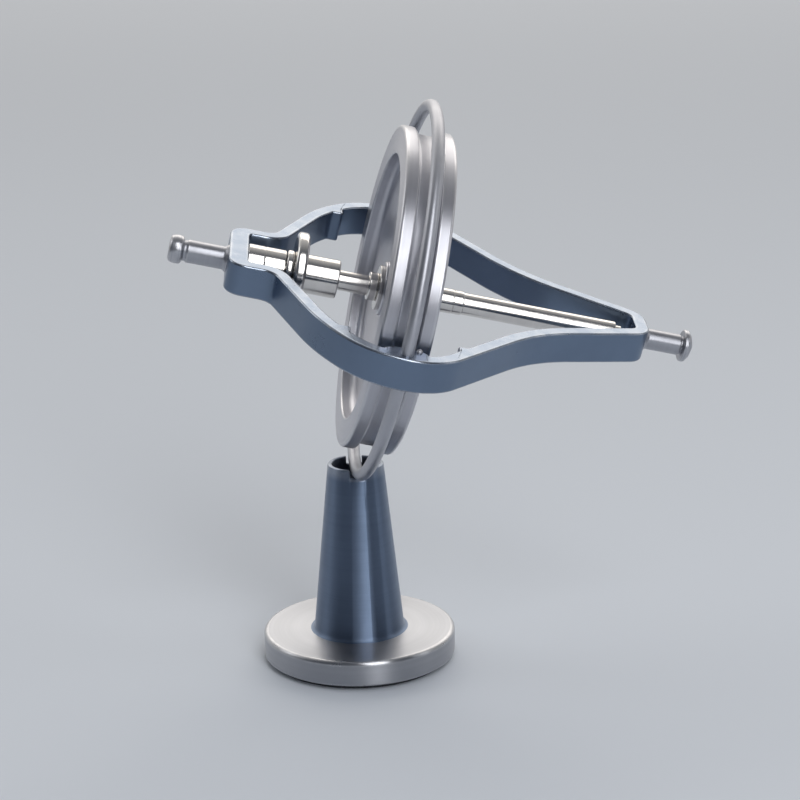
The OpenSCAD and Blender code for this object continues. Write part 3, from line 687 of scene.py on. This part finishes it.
def metal(name, rgb, roughness, lathe=0.0, axis=None, middle=(0.0, 0.0, 0.0), grain=1.0,
          stretch=0.0, wear_and_light_level=0.5):
    """Bare metal, with lathe marks where a turning axis is given. One noise gives the satin grain,
    another clouds the roughness as handling does, and where the attribute edge says, the colour is
    lightened in patches and the surface made smoother: wear from handling together with painted
    highlight on edges and painted light in hollows."""
    mat = bpy.data.materials.new(name)
    mat.use_nodes = True
    tree = mat.node_tree
    link = tree.links.new
    shader = tree.nodes["Principled BSDF"]
    shader.inputs["Metallic"].default_value = 1.0
    where = node(tree, "ShaderNodeTexCoord").outputs["Object"]
    cloud = node(tree, "ShaderNodeTexNoise", Scale=150.0, Detail=4.0, Roughness=0.6)
    satin = node(tree, "ShaderNodeTexNoise", Scale=9000.0, Detail=2.0, Roughness=0.5)
    patch = node(tree, "ShaderNodeTexNoise", Scale=420.0, Detail=3.0, Roughness=0.65)
    for noise in (cloud, satin, patch):
        link(where, noise.inputs["Vector"])
    edge = node(tree, "ShaderNodeAttribute", attribute_name="edge")
    # mask of lightened colour in patches: wear together with painted highlight and painted light
    wear_and_light_mask = node(tree, "ShaderNodeMath", operation="MULTIPLY", use_clamp=True)
    link(spread(tree, patch.outputs["Fac"], 0.38, 0.62, 0.55 * wear_and_light_level, wear_and_light_level), wear_and_light_mask.inputs[0])
    link(edge.outputs["Fac"], wear_and_light_mask.inputs[1])
    tone = blend(tree, spread(tree, cloud.outputs["Fac"], 0.3, 0.7, 0, 1), shade(rgb, 0.95),
                 shade(rgb, 1.05))
    fine = node(tree, "ShaderNodeBump", Strength=0.05 * grain, Distance=0.00004)
    link(satin.outputs["Fac"], fine.inputs["Height"])
    link(fine.outputs["Normal"], shader.inputs["Normal"])
    if axis:
        tone, cut = lathe_marks(tree, where, tone, rgb, lathe, stretch, axis, middle)
        link(cut, fine.inputs["Normal"])
    # pale tone for that mask: bare metal from wear, and a painted highlight
    bare_and_lit_tone = tuple(0.36 + 0.5 * c for c in rgb)
    link(blend(tree, wear_and_light_mask.outputs[0], tone, bare_and_lit_tone), shader.inputs["Base Color"])
    worn_rough = node(tree, "ShaderNodeMath", operation="MULTIPLY_ADD")
    link(wear_and_light_mask.outputs[0], worn_rough.inputs[0])
    worn_rough.inputs[1].default_value = -0.35 * roughness
    link(spread(tree, cloud.outputs["Fac"], 0.3, 0.7, roughness * 0.88, roughness * 1.14),
         worn_rough.inputs[2])
    link(worn_rough.outputs[0], shader.inputs["Roughness"])


def rubber(name, rgb):
    """Dull dark rubber with a fine pebbled skin."""
    mat = bpy.data.materials.new(name)
    mat.use_nodes = True
    tree = mat.node_tree
    shader = tree.nodes["Principled BSDF"]
    shader.inputs["Roughness"].default_value = 0.82
    place = node(tree, "ShaderNodeTexCoord")
    skin = node(tree, "ShaderNodeTexNoise", Scale=2600.0, Detail=4.0)
    tree.links.new(place.outputs["Object"], skin.inputs["Vector"])
    tree.links.new(blend(tree, skin.outputs["Fac"], shade(rgb, 0.8), shade(rgb, 1.25)),
                   shader.inputs["Base Color"])
    bump = node(tree, "ShaderNodeBump", Strength=0.4, Distance=0.0001)
    tree.links.new(skin.outputs["Fac"], bump.inputs["Height"])
    tree.links.new(bump.outputs["Normal"], shader.inputs["Normal"])


def finish_called(name):
    """One of the object's materials by its name. The first call makes them all."""
    made = bpy.data.materials
    if name not in made:
        c = bpy.context.scene.gyro_colours
        axle = {"axis": tuple(SPIN["axis"]), "middle": tuple(SPIN["pos_m"])}
        stand = {"axis": (0.0, 0.0, 1.0)}
        metal("satin_band_metal", c.band, 0.30, wear_and_light_level=0.7)
        metal("turned_stub_metal", shade(c.ring, 0.9), 0.36, lathe=0.06, stretch=0.5, **axle)
        metal("satin_ring_metal", c.ring, 0.42, grain=0.6)
        metal("turned_wheel_metal", c.wheel, 0.38, lathe=0.06, grain=0.4, stretch=0.6, **axle)
        metal("turned_column_metal", c.column, 0.45, lathe=0.05, grain=0.4, stretch=0.95, **stand)
        metal("turned_base_metal", c.base, 0.34, lathe=0.05, grain=0.4, stretch=0.85, **stand)
        metal("polished_axle_steel", c.polished, 0.18, lathe=0.04, grain=0.2, stretch=0.5, **axle)
        metal("dark_screw_steel", c.dark, 0.4)
        rubber("moulded_pad_rubber", c.rubber)
    return made[name]


def dress(nodes, finish):
    """Gives CAD nodes a procedural finish in place of their plain one."""
    for n in nodes:
        mesh = frame["nodes"][n].data
        mesh.materials.clear()
        mesh.materials.append(finish_called(finish))


# -------- pieces


class GYRO_OT_band(bpy.types.Operator):
    """Bends the pear-shaped frame band with rounded edges, pockets and bosses"""

    bl_idname = "gyro.band"
    bl_label = "Frame band"

    def execute(self, context):
        surface, wear_and_painted_light = band_surface(context.scene.gyro_band)
        solid_piece("frame_band_bent", surface, "gyro_frame", ["frame_band"], "satin_band_metal",
                    wear_and_painted_light=wear_and_painted_light)
        return {"FINISHED"}


class GYRO_OT_stubs(bpy.types.Operator):
    """Turns the capped stub of the yoke and the domed stub of the nose"""

    bl_idname = "gyro.stubs"
    bl_label = "Stubs"

    def execute(self, context):
        s, b, a = context.scene.gyro_stub, context.scene.gyro_band, context.scene.gyro_axle
        face, bar, cap = -b.yoke_reach / MM, s.yoke_bar / MM, s.cap_radius / MM
        shoulder = bar + SHOULDER_STEP
        end = face - s.yoke_length / MM
        neck, cap_end = end - 0.5, end - 0.5 - s.cap_length / MM
        cap_middle = (neck + cap_end) / 2
        inside = -(b.yoke_reach - b.yoke_wall - a.collar) / MM
        turned_piece("yoke_stub_turned", [
            [cap_end, 0, 0], [cap_end, cap - 0.3, 1.1], [cap_middle, cap, 2.2],
            [neck - 0.15, cap - 0.12, 0.55], [neck + 0.08, bar - 0.2, 0.25], [end, bar - 0.2, 0.3],
            [end + 0.22, bar, 0.4], [face - 0.55, bar, 0.5], [face - 0.04, shoulder, 0.08],
            [face + 0.05, shoulder, 0], [face + 0.06, SHANK, 0], [inside, SHANK, 0.1],
            [inside, 0, 0],
        ], "gyro_frame", ["yoke_stub"], "turned_stub_metal", closed=False, around=120, steps=7)
        face, bar, head = b.nose_reach / MM, s.nose_bar / MM, s.head_radius / MM
        shoulder, pin = bar + SHOULDER_STEP, 1.2
        end = face + s.nose_length / MM
        neck, dome = end + 0.4, s.dome_height / MM
        rim = neck + s.head_rim / MM
        turned_piece("nose_stub_turned", [
            [face - 1.0, 0, 0], [face - 1.0, pin, 0.1], [face - 0.06, pin, 0],
            [face - 0.05, shoulder, 0], [face + 0.04, shoulder, 0.08],
            [face + 0.55, bar, 0.5], [end, bar, 0.12], [end, bar - 0.28, 0.1],
            [neck, bar - 0.28, 0.1], [neck, head, 0.22], [rim, head, 0.3],
            [rim + 0.52 * dome, 0.72 * head, 1.2], [rim + dome, 0.22 * head, 1.5],
            [rim + dome, 0, 0],
        ], "gyro_frame", ["nose_stub"], "turned_stub_metal", closed=False, around=120, steps=7)
        return {"FINISHED"}


class GYRO_OT_guard_ring(bpy.types.Operator):
    """Bends the guard ring's round bar and finishes the rivets beside it"""

    bl_idname = "gyro.guard_ring"
    bl_label = "Guard ring"

    def execute(self, context):
        s = context.scene.gyro_wheel
        t = np.linspace(0, TURN, 40, endpoint=False)
        bar = np.stack([np.cos(t), np.sin(t)], 1) * (s.bar_radius / MM)
        ring = turned(bar + [0.0, s.ring_radius / MM], True, 320)
        solid_piece("guard_ring", ring, "gyro_frame", ["upper_half_ring", "lower_half_ring"],
                    "satin_ring_metal")
        dress(["ring_rivets"], "satin_ring_metal")
        return {"FINISHED"}


class GYRO_OT_flywheel(bpy.types.Operator):
    """Turns the flywheel with its grooved rim, recessed web and hub"""

    bl_idname = "gyro.flywheel"
    bl_label = "Flywheel"

    def execute(self, context):
        s, a = context.scene.gyro_wheel, context.scene.gyro_axle
        radius, face, rim = s.radius / MM, s.width / 2 / MM, s.rim_inner / MM
        groove, deep = s.groove_width / 2 / MM, (s.radius - s.groove_depth) / MM
        web, bore, hub = s.web / 2 / MM, a.thin / MM + HIDDEN_SEAT, 4.5
        side = [
            [web + HUB_RISE, bore, 0.05], [web + HUB_RISE, hub, 0.25], [web, hub, 0.2],
            [web, rim, 1.2], [face, rim, 0.3], [face, radius, 0.5], [groove, radius, 0.28],
            [groove, deep, 0.5],
        ]
        corners = side + [[-x, y, c] for x, y, c in side[::-1]]
        turned_piece("flywheel_turned", corners, "rotor", ["flywheel"], "turned_wheel_metal",
                     around=288, steps=6)
        return {"FINISHED"}


class GYRO_OT_axle_parts(bpy.types.Operator):
    """Polishes the axle and everything that is threaded on it"""

    bl_idname = "gyro.axle_parts"
    bl_label = "Axle parts"

    def execute(self, context):
        s, w, b = context.scene.gyro_axle, context.scene.gyro_wheel, context.scene.gyro_band
        thin, thick, bore = s.thin / MM, s.polished / MM, s.thin / MM + HIDDEN_SEAT
        hub = w.web / 2 / MM + HUB_RISE
        barrel = (b.yoke_reach - b.yoke_wall - s.collar - s.housing) / MM
        neck = barrel - NECK_GAP
        flange = neck - NECK_RING
        sleeve = flange - s.flange_thickness / MM
        sleeve_end = sleeve - s.sleeve_length / MM
        nose = (b.nose_reach - b.thickness) / MM
        end = nose - 3.0
        yoke_journal, yoke_pin, nose_pin, nose_journal = 1.0, 1.4, 1.3, 0.75

        def steel(name, corners, node_name, **more):
            turned_piece(name, corners, "rotor", [node_name], "polished_axle_steel", **more)

        steel("axle_turned", [
            [-barrel - 2.9, 0, 0], [-barrel - 2.9, yoke_journal, 0.1],
            [-barrel - 0.5, yoke_journal, 0], [-barrel - 0.5, yoke_pin, 0.1],
            [-neck, yoke_pin, 0], [-neck, thin, 0],
            [AXLE_STEP, thin, 0.05], [AXLE_STEP, thick, 0.12], [end, thick, 0.15],
            [end, nose_pin, 0.1], [end + 1.1, nose_pin, 0.1], [end + 1.1, nose_journal, 0.05],
            [nose + 1.2, nose_journal, 0.1], [nose + 1.2, 0, 0],
        ], "axle", closed=False, around=120)
        steel("winding_sleeve_turned", drum(-sleeve, -sleeve_end, bore, s.sleeve / MM, 0.24),
              "winding_sleeve")
        steel("spool_flange_turned", drum(-flange, -sleeve, bore, s.flange / MM, 0.55),
              "spool_flange", around=192, steps=8)
        steel("neck_ring_turned", drum(-neck, -flange, bore, 3.35, 0.4), "neck_ring", steps=7)
        steel("hub_collar_turned", drum(-hub - 2.2, -hub - WASHER, bore, 2.35, 0.2),
              "hub_collar", around=96)
        steel("hub_washer_yoke", drum(-hub - WASHER, -hub, bore, WASHER_RADIUS, 0.16),
              "hub_washers")
        steel("hub_washer_nose", drum(hub, hub + WASHER, bore, WASHER_RADIUS, 0.16),
              "hub_washers")
        steel("nose_spacer_turned", [
            [hub + WASHER, bore, 0.05], [AXLE_STEP, bore, 0.05], [AXLE_STEP, 2.0, 0.18],
            [10.15, 2.0, 0.04], [10.1, 1.93, 0.04], [10.0, 1.93, 0.04], [9.95, 2.05, 0.1],
            [hub + WASHER, 2.05, 0.12],
        ], "nose_spacer", around=96)
        dress(["yoke_inner_race", "nose_inner_race"], "polished_axle_steel")
        return {"FINISHED"}


class GYRO_OT_bearings(bpy.types.Operator):
    """Turns the two lengths of the bearing barrel and finishes the bearings inside"""

    bl_idname = "gyro.bearings"
    bl_label = "Bearings"

    def execute(self, context):
        s, b = context.scene.gyro_axle, context.scene.gyro_band
        wall, r = (b.yoke_reach - b.yoke_wall) / MM, s.barrel / MM
        seam = wall - s.collar / MM
        end = seam - s.housing / MM
        seat, seat_end = 2.5 + HIDDEN_SEAT, -end - 2.8
        room, room_end = 2.03, -end - 3.1
        turned_piece("lock_collar_turned", drum(-wall, -seam, SHANK + HIDDEN_SEAT, r, 0.13),
                     "gyro_frame", ["lock_collar"], "polished_axle_steel")
        turned_piece("bearing_housing_turned", [
            [-seam, 0, 0], [-seam, r, 0.13], [-end, r, 0.16], [-end, seat, 0.08],
            [seat_end, seat, 0.05], [seat_end, room, 0], [room_end, room, 0.05],
            [room_end, 0, 0],
        ], "gyro_frame", ["bearing_housing"], "polished_axle_steel", closed=False)
        dress(["yoke_outer_race", "yoke_balls_set", "nose_outer_race", "nose_balls_set"],
              "polished_axle_steel")
        dress(["bearing_retainer"], "dark_screw_steel")
        return {"FINISHED"}


class GYRO_OT_stand(bpy.types.Operator):
    """Turns the base disc and the notched column, and lays the foot pad"""

    bl_idname = "gyro.stand"
    bl_label = "Stand"

    def execute(self, context):
        s = context.scene.gyro_stand
        low, top = s.pad_height / MM, s.base_top / MM
        disc, pad = s.base_radius / MM, s.pad_radius / MM
        turned_piece("base_disc_turned", [
            [low, 0, 0], [low, disc, 0.3], [top, disc, 0.7], [top, 0, 0],
        ], "stand", ["stand_base"], "turned_base_metal", closed=False, around=288, steps=8,
            place=upright)
        surface, wear_and_painted_light = notched_column(s)
        solid_piece("notched_column", surface, "stand", ["stand_column"], "turned_column_metal",
                    place=in_place, sharp=50, wear_and_painted_light=wear_and_painted_light)
        turned_piece("foot_pad_moulded", [
            [0, 0, 0], [0, pad, 0.2], [low, pad, 0.03], [low, 0, 0],
        ], "stand", ["foot_pad"], "moulded_pad_rubber", closed=False, around=192, place=upright)
        dress(["column_screw"], "dark_screw_steel")
        return {"FINISHED"}


# -------- stage


def placed(axes, place):
    """Matrix that puts an object at a place, with its three axes in the columns given."""
    m = np.eye(4)
    m[:3, :3] = np.stack(axes, 1)
    m[:3, 3] = place
    return Matrix(m.tolist())


def lamp(name, place, width, height, power, tint):
    """Soft rectangular lamp at a place, facing the middle of the object."""
    data = bpy.data.lights.new(name, "AREA")
    data.shape = "RECTANGLE"
    data.size, data.size_y = width, height
    data.energy = power
    data.color = tint
    made = bpy.data.objects.new(name, data)
    bpy.context.scene.collection.objects.link(made)
    back = np.array(place, float) - np.array(LAMP_AIM, float)
    back /= np.linalg.norm(back)
    right = np.cross([0.0, 0.0, 1.0], back)
    right /= np.linalg.norm(right)
    made.matrix_world = placed((right, np.cross(back, right), back), place)


def camera_axes(yaw, pitch, roll):
    """Right, up and back of a camera turned left by yaw from +Y, down by pitch, and rolled
    about its view, all in degrees."""
    y, p, r = (math.radians(a) for a in (yaw, -pitch, roll))
    rz = np.array([[math.cos(y), -math.sin(y), 0], [math.sin(y), math.cos(y), 0], [0, 0, 1]])
    rx = np.array([[1, 0, 0], [0, math.cos(p), -math.sin(p)], [0, math.sin(p), math.cos(p)]])
    ry = np.array([[math.cos(r), 0, math.sin(r)], [0, 1, 0], [-math.sin(r), 0, math.cos(r)]])
    right, look, up = (rz @ rx @ ry).T
    return right, up, -look


class GYRO_OT_stage(bpy.types.Operator):
    """Lays the pale floor and sets the lamps, the world and the camera"""

    bl_idname = "gyro.stage"
    bl_label = "Stage"

    def execute(self, context):
        scene = context.scene
        scene.view_settings.view_transform = "Standard"
        mesh = bpy.data.meshes.new("studio_floor")
        corners = [(-1, -1, 0), (1, -1, 0), (1, 1, 0), (-1, 1, 0)]
        mesh.from_pydata((np.array(corners) * FLOOR_HALF).tolist(), [], [(0, 1, 2, 3)])
        floor = bpy.data.objects.new("studio_floor", mesh)
        scene.collection.objects.link(floor)
        mat = bpy.data.materials.new("floor_paint")
        mat.use_nodes = True
        shader = mat.node_tree.nodes["Principled BSDF"]
        shader.inputs["Base Color"].default_value = (*scene.gyro_colours.floor, 1)
        shader.inputs["Roughness"].default_value = 0.75
        shader.inputs["Specular IOR Level"].default_value = 0.2
        mesh.materials.append(mat)

        world = bpy.data.worlds.new("studio_air")
        world.use_nodes = True
        tree = world.node_tree
        place = node(tree, "ShaderNodeTexCoord")
        split = node(tree, "ShaderNodeSeparateXYZ")
        tree.links.new(place.outputs["Generated"], split.inputs[0])
        behind = spread(tree, split.outputs["Y"], -0.3, 0.8, 0.0, 1.0)
        tree.links.new(blend(tree, behind, AIR_FRONT, AIR_BACK),
                       tree.nodes["Background"].inputs["Color"])
        scene.world = world

        for row in LAMPS:
            lamp(*row)

        data = bpy.data.cameras.new("photo_camera")
        data.lens = CAMERA_LENS
        data.sensor_width = CAMERA_SENSOR
        data.clip_start = 0.01
        camera = bpy.data.objects.new("photo_camera", data)
        scene.collection.objects.link(camera)
        camera.matrix_world = placed(camera_axes(*CAMERA_TURN), CAMERA_PLACE)
        scene.camera = camera
        return {"FINISHED"}


class GYRO_PT_panel(bpy.types.Panel):
    """Lists the gyroscope's pieces and their sizes"""

    bl_idname = "GYRO_PT_panel"
    bl_label = "Gyroscope on Stand"
    bl_space_type = "VIEW_3D"
    bl_region_type = "UI"
    bl_category = "Gyroscope"

    def draw(self, context):
        layout = self.layout
        for settings in SETTINGS:
            box = layout.box()
            group = getattr(context.scene, settings)
            for key in group.__annotations__:
                box.prop(group, key)
        for operator in OPERATORS:
            layout.operator(operator.bl_idname)


SETTINGS = {
    "gyro_band": GyroBandSettings,
    "gyro_stub": GyroStubSettings,
    "gyro_wheel": GyroWheelSettings,
    "gyro_axle": GyroAxleSettings,
    "gyro_stand": GyroStandSettings,
    "gyro_colours": GyroColourSettings,
}
OPERATORS = (
    GYRO_OT_band,
    GYRO_OT_stubs,
    GYRO_OT_guard_ring,
    GYRO_OT_flywheel,
    GYRO_OT_axle_parts,
    GYRO_OT_bearings,
    GYRO_OT_stand,
    GYRO_OT_stage,
)


def register():
    """Registers the classes and hangs the settings on the scene."""
    for cls in (*SETTINGS.values(), *OPERATORS, GYRO_PT_panel):
        bpy.utils.register_class(cls)
    for name, cls in SETTINGS.items():
        setattr(bpy.types.Scene, name, PointerProperty(type=cls))


def unregister():
    """Takes the settings and the classes away again."""
    for name in SETTINGS:
        delattr(bpy.types.Scene, name)
    for cls in (GYRO_PT_panel, *reversed(OPERATORS), *reversed(SETTINGS.values())):
        bpy.utils.unregister_class(cls)


def main():
    """Makes every piece and the stage."""
    register()
    bpy.ops.gyro.band()
    bpy.ops.gyro.stubs()
    bpy.ops.gyro.guard_ring()
    bpy.ops.gyro.flywheel()
    bpy.ops.gyro.axle_parts()
    bpy.ops.gyro.bearings()
    bpy.ops.gyro.stand()
    bpy.ops.gyro.stage()


if __name__ == "__main__":
    main()
